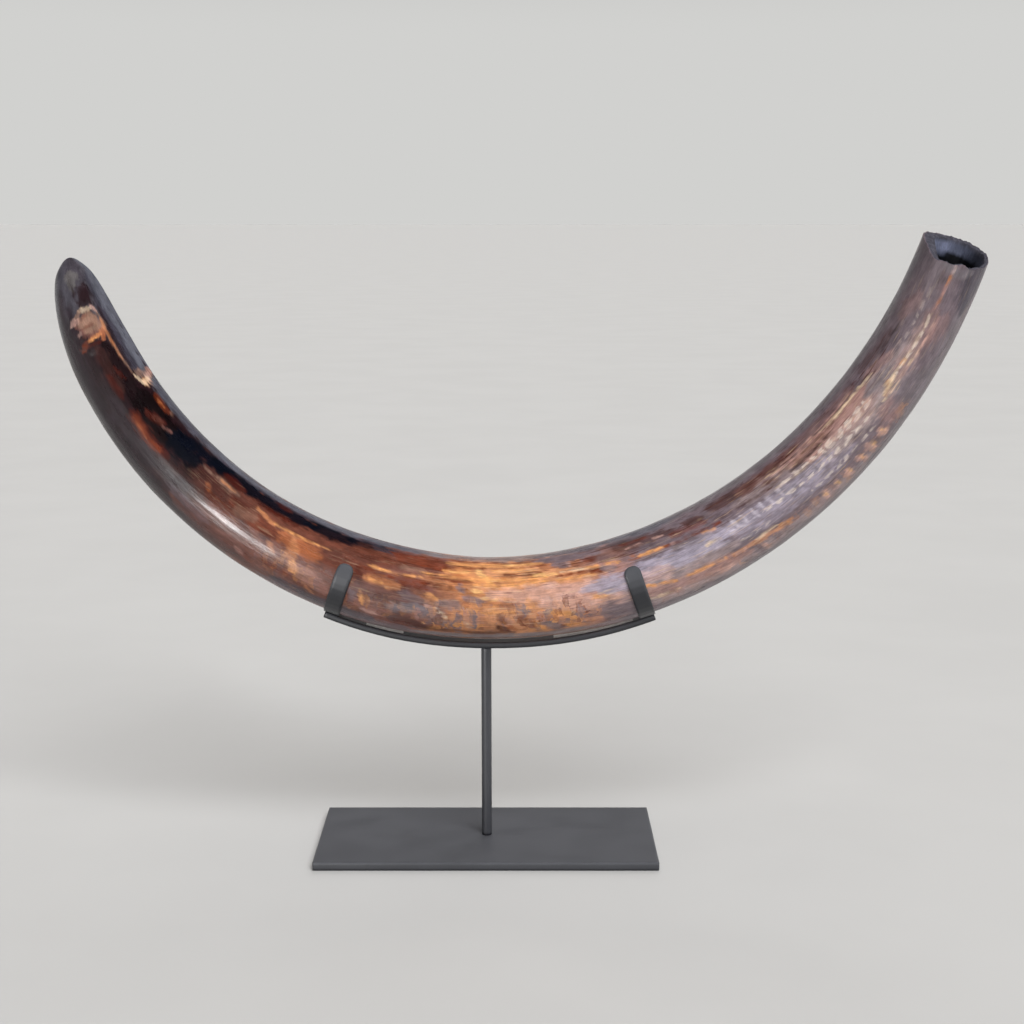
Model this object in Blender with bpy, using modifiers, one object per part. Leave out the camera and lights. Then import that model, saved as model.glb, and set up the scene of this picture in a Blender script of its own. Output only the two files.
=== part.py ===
"""Mammoth tusk resting in a steel cradle on a museum stand.

Metres, +Z up. The origin is the centre of the base plate's underside, X runs along the stand's
long side with the tusk's root end at +X, and -Y is the side that the tusk is shown from.
"""

import math

import bmesh
import bpy
import numpy as np
from mathutils import Vector

MM = 0.001

# Tusk: its centreline is an arc whose heading, measured from +X towards +Z, changes smoothly.
# t runs from -1 at the tip, past 0 halfway along, to 1 at the root.
TUSK_LENGTH = 1375 * MM
TUSK_MIDDLE = (19.4 * MM, 304 * MM)  # x and z of the centreline halfway along
HEADING_BY_POWER_OF_T = (0.024, 1.386, -0.025, -0.046)  # radians
END_LEAN = 55 * MM  # how far the spiral takes the tip backwards and the root forwards
TUSK_RADII = (  # distance from the tip, radius
    (0 * MM, 0.0),
    (6 * MM, 10 * MM),
    (20 * MM, 20 * MM),
    (50 * MM, 29 * MM),
    (100 * MM, 36 * MM),
    (200 * MM, 41 * MM),
    (400 * MM, 45.5 * MM),
    (560 * MM, 48.5 * MM),
    (680 * MM, 47.5 * MM),
    (800 * MM, 48.5 * MM),
    (1100 * MM, 44.5 * MM),
    (1400 * MM, 36.5 * MM),
)
TUSK_SIDES = 36
FLUTES = 7  # shallow lengthwise waves round the tusk
FLUTE_DEPTH = 0.3 * MM

# Worn flat on the inside of the bend at the tip. Angles go round from the shown side (0)
# towards the outside of the bend (90), so the inside of the bend is at -90.
FACET_ANGLE = math.radians(-72)
FACET_DEPTHS = (  # distance from the tip, depth of the flat
    (0 * MM, 0.0),
    (18 * MM, 1.0 * MM),
    (40 * MM, 4.5 * MM),
    (65 * MM, 6.5 * MM),
    (100 * MM, 5.2 * MM),
    (150 * MM, 4.4 * MM),
    (180 * MM, 2.0 * MM),
    (187 * MM, 0.0),
    (200 * MM, 0.0),
    (1400 * MM, 0.0),
)

# Knobbly scar beside the flat.
SCAR_PLACE = 91 * MM
SCAR_ANGLE = math.radians(0)
SCAR_LENGTH = 56 * MM
SCAR_WIDTH = 33 * MM
SCAR_RELIEF = 1.6 * MM
SCAR_LUMP = 11 * MM

# Broken root: the rim's height above the nominal end, by angle round the tusk.
RIM_HEIGHTS_BY_ANGLE = (  # degrees round the tusk, height
    (-180, -2 * MM),
    (-100, -1 * MM),
    (-75, -6 * MM),
    (-55, -14 * MM),
    (-35, -19 * MM),
    (-15, -17 * MM),
    (10, -16 * MM),
    (30, -17 * MM),
    (50, -14 * MM),
    (75, -11 * MM),
    (100, -6 * MM),
    (140, -3 * MM),
    (180, -2 * MM),
)
RIM_TOOTH = 1.2 * MM
RIM_BLEND = 60 * MM  # the length over which the rings bend to follow the rim
CAVITY_DEPTH = 120 * MM
WALL_INSIDE_BEND = 13 * MM
WALL_OUTSIDE_BEND = 3.5 * MM
CAVITY_END_SHARE = 0.25  # the cavity's radius at its bottom, as a share of its mouth

# Stand.
PLATE_SIZE = (400 * MM, 160 * MM, 10 * MM)
PLATE_EDGE = 1.0 * MM
POST_DIAMETER = 12 * MM
RAIL_WIDTH = 18 * MM
RAIL_THICKNESS = 7 * MM
RAIL_DROP_MIDDLE = 4.5 * MM  # the rail's top below the tusk's underside
RAIL_DROP_ENDS = 2.8 * MM
RAIL_PAST_STRAPS = 7 * MM  # from each strap's middle to the rail's end
RAIL_EDGE = 0.8 * MM
STRAP_PLACES = {"strap_left": 502 * MM, "strap_right": 842 * MM}  # from the tusk's tip
STRAP_WIDTH = 19 * MM
STRAP_THICKNESS = 2 * MM
STRAP_REACH = math.radians(116)  # from the tusk's underside up to each prong's tip
STRAP_TIP_RADIUS = 8.5 * MM
STRAP_EDGE = 0.4 * MM
PAD_SPANS = {"pad_left": (540 * MM, 580 * MM), "pad_right": (740 * MM, 826 * MM)}
PAD_WIDTH = 11 * MM
GAP = 0.3 * MM  # between pieces that touch

CENTRELINE_STEP = 1 * MM
OVERRUN = 30 * MM


def smooth_value(table, place):
    """A smooth curve through the table's (place, value) pairs."""
    places, values = np.array(table, float).T
    slopes = np.gradient(values, places)
    i = np.clip(np.searchsorted(places, place) - 1, 0, len(places) - 2)
    step = places[i + 1] - places[i]
    u = (place - places[i]) / step
    start = (2 * u**3 - 3 * u**2 + 1) * values[i] + (u**3 - 2 * u**2 + u) * step * slopes[i]
    end = (3 * u**2 - 2 * u**3) * values[i + 1] + (u**3 - u**2) * step * slopes[i + 1]
    return start + end


def centreline():
    """Distances from the tip, the points there and the unit directions towards the root."""
    along = np.arange(0.0, TUSK_LENGTH + OVERRUN, CENTRELINE_STEP)
    t = 2 * along / TUSK_LENGTH - 1
    heading = sum(k * t**power for power, k in enumerate(HEADING_BY_POWER_OF_T))
    lean = END_LEAN * t**3
    sideways = -6 * END_LEAN * t**2 / TUSK_LENGTH
    flat = np.sqrt(1 - sideways**2)
    ahead = np.stack([np.cos(heading) * flat, sideways, np.sin(heading) * flat], axis=1)
    points = np.cumsum(ahead, axis=0) * CENTRELINE_STEP
    middle = np.argmin(np.abs(t))
    points += np.array([TUSK_MIDDLE[0], 0.0, TUSK_MIDDLE[1]]) - points[middle]
    points[:, 1] = -lean
    return along, points, ahead


ALONG, POINTS, AHEAD = centreline()


def frame_at(place):
    """The centreline's point, the shown side's direction and the outside of the bend there."""
    point = np.array([np.interp(place, ALONG, POINTS[:, axis]) for axis in range(3)])
    ahead = Vector([np.interp(place, ALONG, AHEAD[:, axis]) for axis in range(3)]).normalized()
    shown = Vector((0, -1, 0))
    shown = (shown - ahead * shown.dot(ahead)).normalized()
    return Vector(point), shown, ahead.cross(shown)


def body_radius(place):
    """The tusk's radius before flutes and wear. The root of the distance rounds the tip."""
    table = [(math.sqrt(distance), radius) for distance, radius in TUSK_RADII]
    return float(smooth_value(table, math.sqrt(place)))


def scar_height(place, angle, radius):
    """Lumps that stand up to SCAR_RELIEF proud, fading out at the scar's edge."""
    across = radius * math.remainder(angle - SCAR_ANGLE, math.tau)
    along = place - SCAR_PLACE
    spread = (2 * along / SCAR_LENGTH) ** 2 + (2 * across / SCAR_WIDTH) ** 2
    if spread >= 1:
        return 0.0
    turns = math.tau / SCAR_LUMP
    lumps = math.sin(turns * along + 1) * math.cos(turns * 0.8 * across + turns * 0.3 * along)
    return SCAR_RELIEF * (0.55 + 0.45 * lumps) * (1 - spread) ** 0.5


def surface_radius(place, angle):
    """The distance from the centreline to the tusk's outside."""
    radius = body_radius(place)
    swell = min(1.0, place / (100 * MM))
    flute = math.cos(FLUTES * angle + 2 * math.sin(angle) + place / (180 * MM))
    worn = radius - FLUTE_DEPTH * swell * (1 - flute) / 2
    off = math.remainder(angle - FACET_ANGLE, math.tau)
    depth = max(0.0, float(smooth_value(FACET_DEPTHS, place)))
    if depth > 0 and abs(off) < math.pi / 3:
        worn = min(worn, (radius - depth) / math.cos(off))
    return worn + scar_height(place, angle, radius)


def rim_height(angle):
    """The broken rim's height, with small teeth."""
    degrees = math.degrees(math.remainder(angle, math.tau))
    places, heights = zip(*RIM_HEIGHTS_BY_ANGLE)
    tooth = RIM_TOOTH * max(0.2, math.cos(angle)) * math.sin(11 * angle + 1)
    return float(np.interp(degrees, places, heights)) + tooth


def tusk_point(place, angle, radius):
    point, shown, outside = frame_at(place)
    return point + radius * (math.cos(angle) * shown + math.sin(angle) * outside)


def ring_places():
    """Where the outer rings cross the centreline: close together at the tip, then even."""
    tip = [distance * MM for distance in (0.2, 1.5, 4, 8, 13, 20, 28, 37)]
    scarred = [distance * MM for distance in range(45, 172, 7)]
    body_end = TUSK_LENGTH - RIM_BLEND
    steps = round((body_end - scarred[-1]) / (19 * MM))
    body = np.linspace(scarred[-1], body_end, steps + 1)[1:]
    return tip + scarred + [float(place) for place in body]


def cavity_radius(angle, depth_share):
    """The pulp cavity's wall, nearer to the outside of the bend and narrowing downwards."""
    mouth = body_radius(TUSK_LENGTH)
    wall = (WALL_INSIDE_BEND + WALL_OUTSIDE_BEND) / 2
    shift = (WALL_INSIDE_BEND - WALL_OUTSIDE_BEND) / 2
    radius = (mouth - wall) * (1 - (1 - CAVITY_END_SHARE) * depth_share)
    return radius + shift * math.sin(angle) * (1 - depth_share)


def tusk_rings(angles):
    """Rings of points from the tip, up the outside, over the rim and down the cavity."""
    rings = [[tusk_point(p, a, surface_radius(p, a)) for a in angles] for p in ring_places()]
    body_end = TUSK_LENGTH - RIM_BLEND
    for share in (0.3, 0.55, 0.75, 0.9, 1.0):
        places = [body_end + share * (RIM_BLEND + rim_height(a)) for a in angles]
        rings.append([tusk_point(p, a, surface_radius(p, a)) for p, a in zip(places, angles)])
    for share in (0.0, 0.04, 0.12, 0.3, 0.6, 0.85, 1.0):
        ring = []
        for a in angles:
            top = TUSK_LENGTH + rim_height(a) - RIM_TOOTH
            bottom = TUSK_LENGTH - CAVITY_DEPTH
            ring.append(tusk_point(top + share * (bottom - top), a, cavity_radius(a, share)))
        rings.append(ring)
    return rings


def build_tusk():
    """One closed skin through all the rings, from the tip to the bottom of the cavity."""
    angles = [math.tau * i / TUSK_SIDES for i in range(TUSK_SIDES)]
    return closed_loft("tusk", tusk_rings(angles), sharp_angle=40)


def closed_loft(name, rings, sharp_angle=30):
    """A closed skin through rings of as many points each, with a face across each end."""
    model = bmesh.new()
    loops = [[model.verts.new(point) for point in ring] for ring in rings]
    for lower, upper in zip(loops, loops[1:]):
        for i in range(len(lower)):
            model.faces.new((lower[i - 1], lower[i], upper[i], upper[i - 1]))
    model.faces.new(loops[0])
    model.faces.new(loops[-1])
    bmesh.ops.recalc_face_normals(model, faces=model.faces)
    return mesh_object(name, model, sharp_angle)


def mesh_object(name, model, sharp_angle=30):
    mesh = bpy.data.meshes.new(name)
    model.to_mesh(mesh)
    model.free()
    mesh.shade_smooth()
    mesh.set_sharp_from_angle(angle=math.radians(sharp_angle))
    piece = bpy.data.objects.new(name, mesh)
    bpy.context.scene.collection.objects.link(piece)
    return piece


def sheet_object(name, rows):
    """An open surface through rows of points, all of the same length."""
    model = bmesh.new()
    grid = [[model.verts.new(point) for point in row] for row in rows]
    for low, high in zip(grid, grid[1:]):
        for k in range(len(low) - 1):
            model.faces.new((low[k], low[k + 1], high[k + 1], high[k]))
    return mesh_object(name, model)


def thicken(piece, thickness, edge):
    """Grows the sheet along its normals and rounds its edges."""
    solid = piece.modifiers.new("thickness", "SOLIDIFY")
    solid.thickness = thickness
    solid.offset = 1.0
    solid.use_even_offset = True
    round_edges(piece, edge)


def round_edges(piece, width, segments=1):
    bevel = piece.modifiers.new("rounded edges", "BEVEL")
    bevel.width = width
    bevel.segments = segments
    bevel.limit_method = "ANGLE"
    bevel.angle_limit = math.radians(50)


def build_plate():
    bpy.ops.mesh.primitive_cube_add(size=1, location=(0, 0, PLATE_SIZE[2] / 2))
    plate = bpy.context.object
    plate.name = "base_plate"
    plate.scale = PLATE_SIZE
    bpy.ops.object.transform_apply(location=False, rotation=False, scale=True)
    round_edges(plate, PLATE_EDGE, segments=2)
    return plate


def rail_drop(place):
    """How far the rail's top lies below the tusk: furthest midway between the straps."""
    left, right = STRAP_PLACES.values()
    share = (2 * place - left - right) / (right - left)
    return RAIL_DROP_MIDDLE + (RAIL_DROP_ENDS - RAIL_DROP_MIDDLE) * share**2


def below_tusk(place, y, depth):
    """A point this far below the tusk's underside, in the plane at y."""
    point, _, outside = frame_at(place)
    down = Vector((outside.x, 0, outside.z)).normalized()
    low = point + down * (body_radius(place) + depth)
    return Vector((low.x, y, low.z))


def build_rail():
    start = STRAP_PLACES["strap_left"] - RAIL_PAST_STRAPS
    end = STRAP_PLACES["strap_right"] + RAIL_PAST_STRAPS
    sides = (-RAIL_WIDTH / 2, RAIL_WIDTH / 2)
    places = np.linspace(start, end, 25)
    rows = [[below_tusk(place, y, rail_drop(place)) for y in sides] for place in places]
    rail = sheet_object("cradle_rail", rows)
    thicken(rail, RAIL_THICKNESS, RAIL_EDGE)
    return rail


def build_post():
    """A rod from the plate's top to the rail's underside."""
    foot = PLATE_SIZE[2] + GAP
    under_post = float(np.interp(0, POINTS[:, 0], ALONG))
    rail_top = below_tusk(under_post, 0, rail_drop(under_post)).z
    head = rail_top - RAIL_THICKNESS - GAP
    bpy.ops.mesh.primitive_cylinder_add(
        vertices=32,
        radius=POST_DIAMETER / 2,
        depth=head - foot,
        location=(0, 0, (foot + head) / 2),
    )
    post = bpy.context.object
    post.name = "post"
    post.data.shade_smooth()
    post.data.set_sharp_from_angle(angle=math.radians(30))
    return post


def tip_half_width(distance):
    """Half the strap's width at this distance from a prong's rounded tip."""
    inset = max(0.0, STRAP_TIP_RADIUS - distance)
    flat = STRAP_WIDTH / 2 - STRAP_TIP_RADIUS
    return flat + math.sqrt(STRAP_TIP_RADIUS**2 - inset**2)


def build_strap(name, place):
    """A flat bar bent round the tusk's underside, up both sides."""
    point, shown, outside = frame_at(place)
    ahead = shown.cross(outside)
    radius = body_radius(place) + RAIL_DROP_ENDS - STRAP_THICKNESS - GAP
    reach = radius * STRAP_REACH
    rounding = [STRAP_TIP_RADIUS * share for share in (0.01, 0.12, 0.35, 0.65, 1.0)]
    middle = np.linspace(STRAP_TIP_RADIUS, 2 * reach - STRAP_TIP_RADIUS, 25)[1:-1]
    distances = rounding + [float(d) for d in middle] + [2 * reach - d for d in reversed(rounding)]
    rows = []
    for distance in distances:
        turn = distance / radius - STRAP_REACH
        centre = point + radius * (math.cos(turn) * outside + math.sin(turn) * shown)
        half = tip_half_width(min(distance, 2 * reach - distance))
        rows.append([centre + ahead * half * side for side in (-1, 1)])
    strap = sheet_object(name, rows)
    thicken(strap, STRAP_THICKNESS, STRAP_EDGE)
    return strap


def build_pad(name, span):
    """A strip of soft liner that fills the space between the rail and the tusk."""
    rings = []
    for place in np.linspace(*span, 9):
        bottom = rail_drop(place) - GAP
        corners = ((-1, bottom), (1, bottom), (1, GAP), (-1, GAP))
        rings.append([below_tusk(place, side * PAD_WIDTH / 2, depth) for side, depth in corners])
    return closed_loft(name, rings)


def finish(piece, name, hex_colour, roughness, metallic=0.0):
    """Gives the piece a plain surface, its colour written as sRGB."""
    surface = bpy.data.materials.new(name)
    surface.use_nodes = True
    shader = surface.node_tree.nodes["Principled BSDF"]
    parts = [int(hex_colour[i : i + 2], 16) / 255 for i in (0, 2, 4)]
    linear = [c / 12.92 if c <= 0.04045 else ((c + 0.055) / 1.055) ** 2.4 for c in parts]
    shader.inputs["Base Color"].default_value = (*linear, 1)
    shader.inputs["Roughness"].default_value = roughness
    shader.inputs["Metallic"].default_value = metallic
    surface.diffuse_color = (*linear, 1)
    piece.data.materials.append(surface)


def main():
    for old in list(bpy.data.objects):
        bpy.data.objects.remove(old, do_unlink=True)
    tusk = build_tusk()
    finish(tusk, "polished brown ivory", "7A4A2E", 0.3)
    stand = [build_plate(), build_post(), build_rail()]
    stand += [build_strap(name, place) for name, place in STRAP_PLACES.items()]
    for piece in stand:
        finish(piece, "satin dark grey paint", "3A3B3F", 0.45)
    pads = [build_pad(name, span) for name, span in PAD_SPANS.items()]
    for pad in pads:
        finish(pad, "pale grey felt", "B9B4AC", 0.9)
    collection = bpy.data.collections.new("mammoth_tusk_on_stand")
    bpy.context.scene.collection.children.link(collection)
    for piece in [tusk, *stand, *pads]:
        for owner in list(piece.users_collection):
            owner.objects.unlink(piece)
        collection.objects.link(piece)


main()
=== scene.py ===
"""The finished looks of a mammoth tusk that rests in a steel cradle on a museum stand.

Metres, +Z up. The tusk gets a fine skin of its own in place of the plain solid, with the relief and
the stains of polished mineral-stained ivory. The stand and the pads keep their solids and get their
finishes here.
"""

import math
import random

import bmesh
import bpy
import numpy as np
from bpy.props import FloatProperty, FloatVectorProperty, IntProperty, PointerProperty
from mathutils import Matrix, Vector, noise


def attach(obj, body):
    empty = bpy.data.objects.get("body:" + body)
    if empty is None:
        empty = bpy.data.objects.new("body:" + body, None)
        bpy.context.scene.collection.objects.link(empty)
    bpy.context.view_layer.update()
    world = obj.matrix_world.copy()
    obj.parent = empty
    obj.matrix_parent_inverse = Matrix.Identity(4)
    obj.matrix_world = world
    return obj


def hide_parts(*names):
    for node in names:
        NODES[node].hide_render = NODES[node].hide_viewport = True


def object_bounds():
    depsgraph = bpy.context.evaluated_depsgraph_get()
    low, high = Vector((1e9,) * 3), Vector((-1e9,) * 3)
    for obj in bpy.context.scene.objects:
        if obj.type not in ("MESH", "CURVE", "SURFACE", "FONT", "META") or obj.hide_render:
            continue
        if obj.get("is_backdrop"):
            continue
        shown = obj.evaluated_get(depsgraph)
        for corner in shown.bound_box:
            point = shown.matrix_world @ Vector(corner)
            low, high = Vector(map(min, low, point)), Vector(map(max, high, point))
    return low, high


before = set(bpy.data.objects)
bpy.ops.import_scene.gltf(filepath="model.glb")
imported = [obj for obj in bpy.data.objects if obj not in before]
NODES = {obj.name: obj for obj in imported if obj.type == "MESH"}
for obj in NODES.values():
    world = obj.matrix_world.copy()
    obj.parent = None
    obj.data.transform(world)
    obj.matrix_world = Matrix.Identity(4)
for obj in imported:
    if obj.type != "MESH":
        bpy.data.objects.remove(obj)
CAD_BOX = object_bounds()

bl_info = {
    "name": "Mammoth Tusk on Stand",
    "version": (1, 0, 0),
    "blender": (4, 5, 0),
    "location": "3D View > Sidebar > Tusk",
    "description": "Builds a polished mammoth tusk in its steel cradle, in a plain studio",
    "category": "Object",
}

MM = 0.001
ROOT = "root"


def linear(hex_colour):
    """An sRGB hex colour as linear red, green, blue and alpha."""
    values = [int(hex_colour[i : i + 2], 16) / 255 for i in (1, 3, 5)]
    return (*[v / 12.92 if v <= 0.04045 else ((v + 0.055) / 1.055) ** 2.4 for v in values], 1.0)


# ---------------- the tusk's shape

TUSK_LENGTH = 1375 * MM
TUSK_MIDDLE = (19.4 * MM, 304 * MM)  # x and z of the centreline halfway along
HEADING_BY_POWER_OF_T = (0.024, 1.386, -0.025, -0.046)  # t is -1 at the tip and 1 at the root
END_LEAN = 55 * MM  # how far the tip leans back and the root leans forward
TUSK_RADII = (  # mm from the tip, radius in mm
    (0, 0), (6, 10), (20, 20), (50, 29), (100, 36), (200, 41), (400, 45.5), (560, 48.5),
    (680, 47.5), (800, 48.5), (1100, 44.5), (1400, 36.5),
)
FLUTES = 7  # shallow lengthwise hollows side by side round the tusk
FLUTE_DEPTH = 0.3  # mm
FLUTE_TURN = 180  # mm along the tusk in which the flutes turn by one radian
FACET_ANGLE = math.radians(-72)
FACET_REACH = math.pi / 3  # how far the flat may reach to either side
FACET_DEPTHS = (  # mm from the tip, depth in mm of the flat that wear left inside the bend
    (0, 0), (18, 1), (40, 4.5), (65, 6.5), (100, 5.2), (150, 4.4), (180, 2), (187, 0), (200, 0),
    (1400, 0),
)
SCAR_PLACE = 91  # mm from the tip
SCAR_ANGLE = -0.05  # radians round from the shown side
SCAR_LENGTH = 58  # mm
SCAR_WIDTH = 36  # mm
SCAR_RELIEF = 1.6  # mm
RIM_HEIGHTS = (  # degrees round the tusk, height in mm of the broken rim
    (-180, -2), (-100, -1), (-75, -6), (-55, -14), (-35, -19), (-15, -17), (10, -16), (30, -17),
    (50, -14), (75, -11), (100, -6), (140, -3), (180, -2),
)
RIM_RADIUS = 36.0  # mm, where the chips in the rim are drawn
RIM_BLEND = 60  # mm over which the rings bend to follow the rim
RIM_SHARES = (  # of the blend, one for each ring
    0.08, 0.16, 0.24, 0.32, 0.4, 0.48, 0.56, 0.64, 0.71, 0.77, 0.82, 0.86, 0.9, 0.93, 0.955,
    0.975, 0.988, 1.0,
)
WALL_INSIDE_BEND = 13  # mm
WALL_OUTSIDE_BEND = 3.5  # mm
WALL_DROP = 1.2  # mm by which the wall's inner edge lies lower than its outer one
WALL_CROWN = 0.3  # mm by which the broken face bulges between them
WALL_SHARES = (0.05, 0.16, 0.3, 0.45, 0.6, 0.75, 0.9)  # of the way across the broken face
CAVITY_DEPTH = 120  # mm
CAVITY_END_SHARE = 0.25  # of the hollow's width at its mouth
CAVITY_SHARES = (  # of the hollow's depth
    0.0, 0.01, 0.025, 0.045, 0.07, 0.1, 0.135, 0.175, 0.22, 0.27, 0.325, 0.385, 0.45, 0.52,
    0.59, 0.66, 0.73, 0.8, 0.87, 0.93, 0.98, 1.0,
)


def smooth_value(table, place):
    """A smooth curve through the table's (place, value) pairs, read at many places."""
    places, values = np.array(table, float).T
    slopes = np.gradient(values, places)
    i = np.clip(np.searchsorted(places, place) - 1, 0, len(places) - 2)
    step = places[i + 1] - places[i]
    u = (place - places[i]) / step
    start = (2 * u**3 - 3 * u**2 + 1) * values[i] + (u**3 - 2 * u**2 + u) * step * slopes[i]
    end = (3 * u**2 - 2 * u**3) * values[i + 1] + (u**3 - u**2) * step * slopes[i + 1]
    return start + end


def smoothstep(low, high, value):
    """0 up to low, 1 from high on, and a smooth rise between them."""
    share = np.clip((value - low) / (high - low), 0, 1)
    return share * share * (3 - 2 * share)


def wrapped(angle):
    """The same angle between half a turn back and half a turn on."""
    return np.remainder(angle + math.pi, math.tau) - math.pi


def centreline():
    """Distances from the tip in mm, the points there in metres and the directions to the root."""
    along = np.arange(0.0, TUSK_LENGTH + 30 * MM, MM)
    t = 2 * along / TUSK_LENGTH - 1
    heading = sum(k * t**power for power, k in enumerate(HEADING_BY_POWER_OF_T))
    sideways = -6 * END_LEAN * t**2 / TUSK_LENGTH
    flat = np.sqrt(1 - sideways**2)
    ahead = np.stack([np.cos(heading) * flat, sideways, np.sin(heading) * flat], axis=1)
    points = np.cumsum(ahead, axis=0) * MM
    points += np.array([TUSK_MIDDLE[0], 0.0, TUSK_MIDDLE[1]]) - points[np.argmin(np.abs(t))]
    points[:, 1] = -END_LEAN * t**3
    return along / MM, points, ahead


ALONG, POINTS, AHEAD = centreline()


def tusk_points(place, angle, radius):
    """Points in metres from distances to the tip in mm, angles round the tusk and radii in mm."""
    point = np.stack([np.interp(place, ALONG, POINTS[:, k]) for k in range(3)], axis=-1)
    ahead = np.stack([np.interp(place, ALONG, AHEAD[:, k]) for k in range(3)], axis=-1)
    ahead /= np.linalg.norm(ahead, axis=-1, keepdims=True)
    shown = np.array([0.0, -1.0, 0.0]) - ahead * -ahead[..., 1:2]
    shown /= np.linalg.norm(shown, axis=-1, keepdims=True)
    outside = np.cross(ahead, shown)
    side = np.cos(angle)[..., None] * shown + np.sin(angle)[..., None] * outside
    return point + side * (radius * MM)[..., None]


def body_radius(place):
    """The plain tusk's radius in mm at this distance from the tip in mm."""
    table = [(math.sqrt(distance), radius) for distance, radius in TUSK_RADII]
    return smooth_value(table, np.sqrt(place))


def grain_noise(place, angle, radius, length, width, seed=0.0, octaves=1):
    """Smooth noise between about -1 and 1 in cells of this length and width in mm."""
    x = np.ravel(place / length + seed)
    y = np.ravel(radius * np.cos(angle) / width + seed)
    z = np.ravel(radius * np.sin(angle) / width - seed)
    total = np.zeros(len(x))
    for octave in range(octaves):
        k = 2**octave
        found = [noise.noise((a * k, b * k, c * k + 5 * octave)) for a, b, c in zip(x, y, z)]
        total += np.array(found) / k
    return total.reshape(np.shape(place)) * 1.6


def scar_share(place, angle, radius):
    """1 inside the knobbly scar, falling to 0 at its frayed edge."""
    across = radius * (angle - SCAR_ANGLE)
    fray = grain_noise(place, angle, radius, 9, 9, seed=3.3)
    spread = np.hypot(2 * (place - SCAR_PLACE) / SCAR_LENGTH, 2 * across / SCAR_WIDTH)
    return 1 - smoothstep(0.86, 1.02, spread + 0.16 * fray)


def outer_radius(place, angle, settings):
    """The skin's radius in mm, with wear, grain, the flat at the tip and the scar."""
    radius = body_radius(place)
    at = (place, angle, radius)
    swell = smoothstep(0, 100, place)
    flute = np.cos(FLUTES * angle + 2 * np.sin(angle) + place / FLUTE_TURN)
    worn = radius - FLUTE_DEPTH * swell * (1 - flute) / 2
    grain = grain_noise(*at, 110, 5, seed=1.7, octaves=2)
    worn += settings.grain_relief / MM * swell * grain
    worn += settings.dent_relief / MM * swell * grain_noise(*at, 34, 26, seed=8.1)
    off = wrapped(angle - FACET_ANGLE)
    depth = np.maximum(0, smooth_value(FACET_DEPTHS, place))
    flat = (radius - depth) / np.cos(np.clip(off, -FACET_REACH, FACET_REACH))
    faced = (depth > 0) & (np.abs(off) < FACET_REACH)
    worn = np.where(faced, np.minimum(worn, flat), worn)
    lumps = grain_noise(*at, 6, 5, seed=4.9, octaves=2)
    return worn + SCAR_RELIEF * scar_share(place, wrapped(angle), radius) * (0.62 + 0.42 * lumps)


def rim_height(angle):
    """The broken rim's height in mm, with small teeth and chips."""
    places, heights = zip(*RIM_HEIGHTS)
    tooth = 1.2 * np.maximum(0.2, np.cos(angle)) * np.sin(11 * angle + 1)
    at = (np.zeros_like(angle), angle, np.full_like(angle, RIM_RADIUS))
    chips = 0.7 * grain_noise(*at, 9, 4, seed=6.0, octaves=2)
    return np.interp(np.degrees(wrapped(angle)), places, heights) + tooth + chips


def cavity_radius(angle, share):
    """The hollow's radius in mm at this share of its depth, off centre at its mouth."""
    mouth = body_radius(np.array([TUSK_LENGTH / MM]))[0]
    wall = (WALL_INSIDE_BEND + WALL_OUTSIDE_BEND) / 2
    shift = (WALL_INSIDE_BEND - WALL_OUTSIDE_BEND) / 2
    radius = (mouth - wall) * (1 - (1 - CAVITY_END_SHARE) * share)
    return radius + shift * np.sin(angle) * (1 - share)


def outer_places(settings):
    """Where the outer rings cross the centreline, in mm from the tip."""
    tip = [0.15, 0.5, 1, 1.7, 2.6, 3.8, 5.2, 6.8, 8.6, 10.6, 12.8, 15.2]
    fine = np.arange(17, 192, settings.tip_ring_spacing / MM)
    end = TUSK_LENGTH / MM - RIM_BLEND
    count = round((end - fine[-1]) / (settings.ring_spacing / MM))
    return np.concatenate([tip, fine, np.linspace(fine[-1], end, count + 1)[1:]])


def tusk_grid(settings):
    """The rings from the tip over the rim to the cavity's end: places, angles and radii in mm.

    The last array says how far inside the break each ring lies: 0 outside, up to 1 on the wall's
    face, and from 1 to 2 down the cavity.
    """
    angle = np.arange(settings.sides) / settings.sides * math.tau
    length = TUSK_LENGTH / MM
    rim = rim_height(angle)
    places = [np.full_like(angle, place) for place in outer_places(settings)]
    places += [length - RIM_BLEND + share * (RIM_BLEND + rim) for share in RIM_SHARES]
    radii = list(outer_radius(np.array(places), angle, settings))
    inside = [0.0] * len(places)
    edge_place, edge_radius = places[-1], radii[-1]
    mouth = cavity_radius(angle, 0.0)
    top = length + rim - WALL_DROP
    for share in WALL_SHARES:
        at = (np.full_like(angle, 60 * share), angle, edge_radius)
        rough = grain_noise(*at, 4, 3, seed=2.2, octaves=2)
        crown = math.sin(math.pi * share) ** 0.5
        places.append(edge_place + (top - edge_place) * share + crown * (WALL_CROWN + rough))
        radii.append(edge_radius + (mouth - edge_radius) * share)
        inside.append(share)
    for share in CAVITY_SHARES:
        place = top + share * (length - CAVITY_DEPTH - top)
        ridges = 0.45 * grain_noise(place, angle, mouth, 60, 3.5, seed=5.5, octaves=2)
        steps = 0.25 * np.sin(place / 1.9 + 2 * np.sin(angle))
        places.append(place)
        radii.append(cavity_radius(angle, share) + (ridges + steps) * min(1, 12 * share))
        inside.append(1 + share)
    return np.array(places), angle, np.array(radii), np.array(inside)[:, None]


# ---------------- the tusk's stains, with painted light and shade among them

# steel and haze also serve as a painted sheen along the edges of the bend, lilac as a painted
# reflection in the bloom, and blush and mist in places as painted highlights on the front
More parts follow.
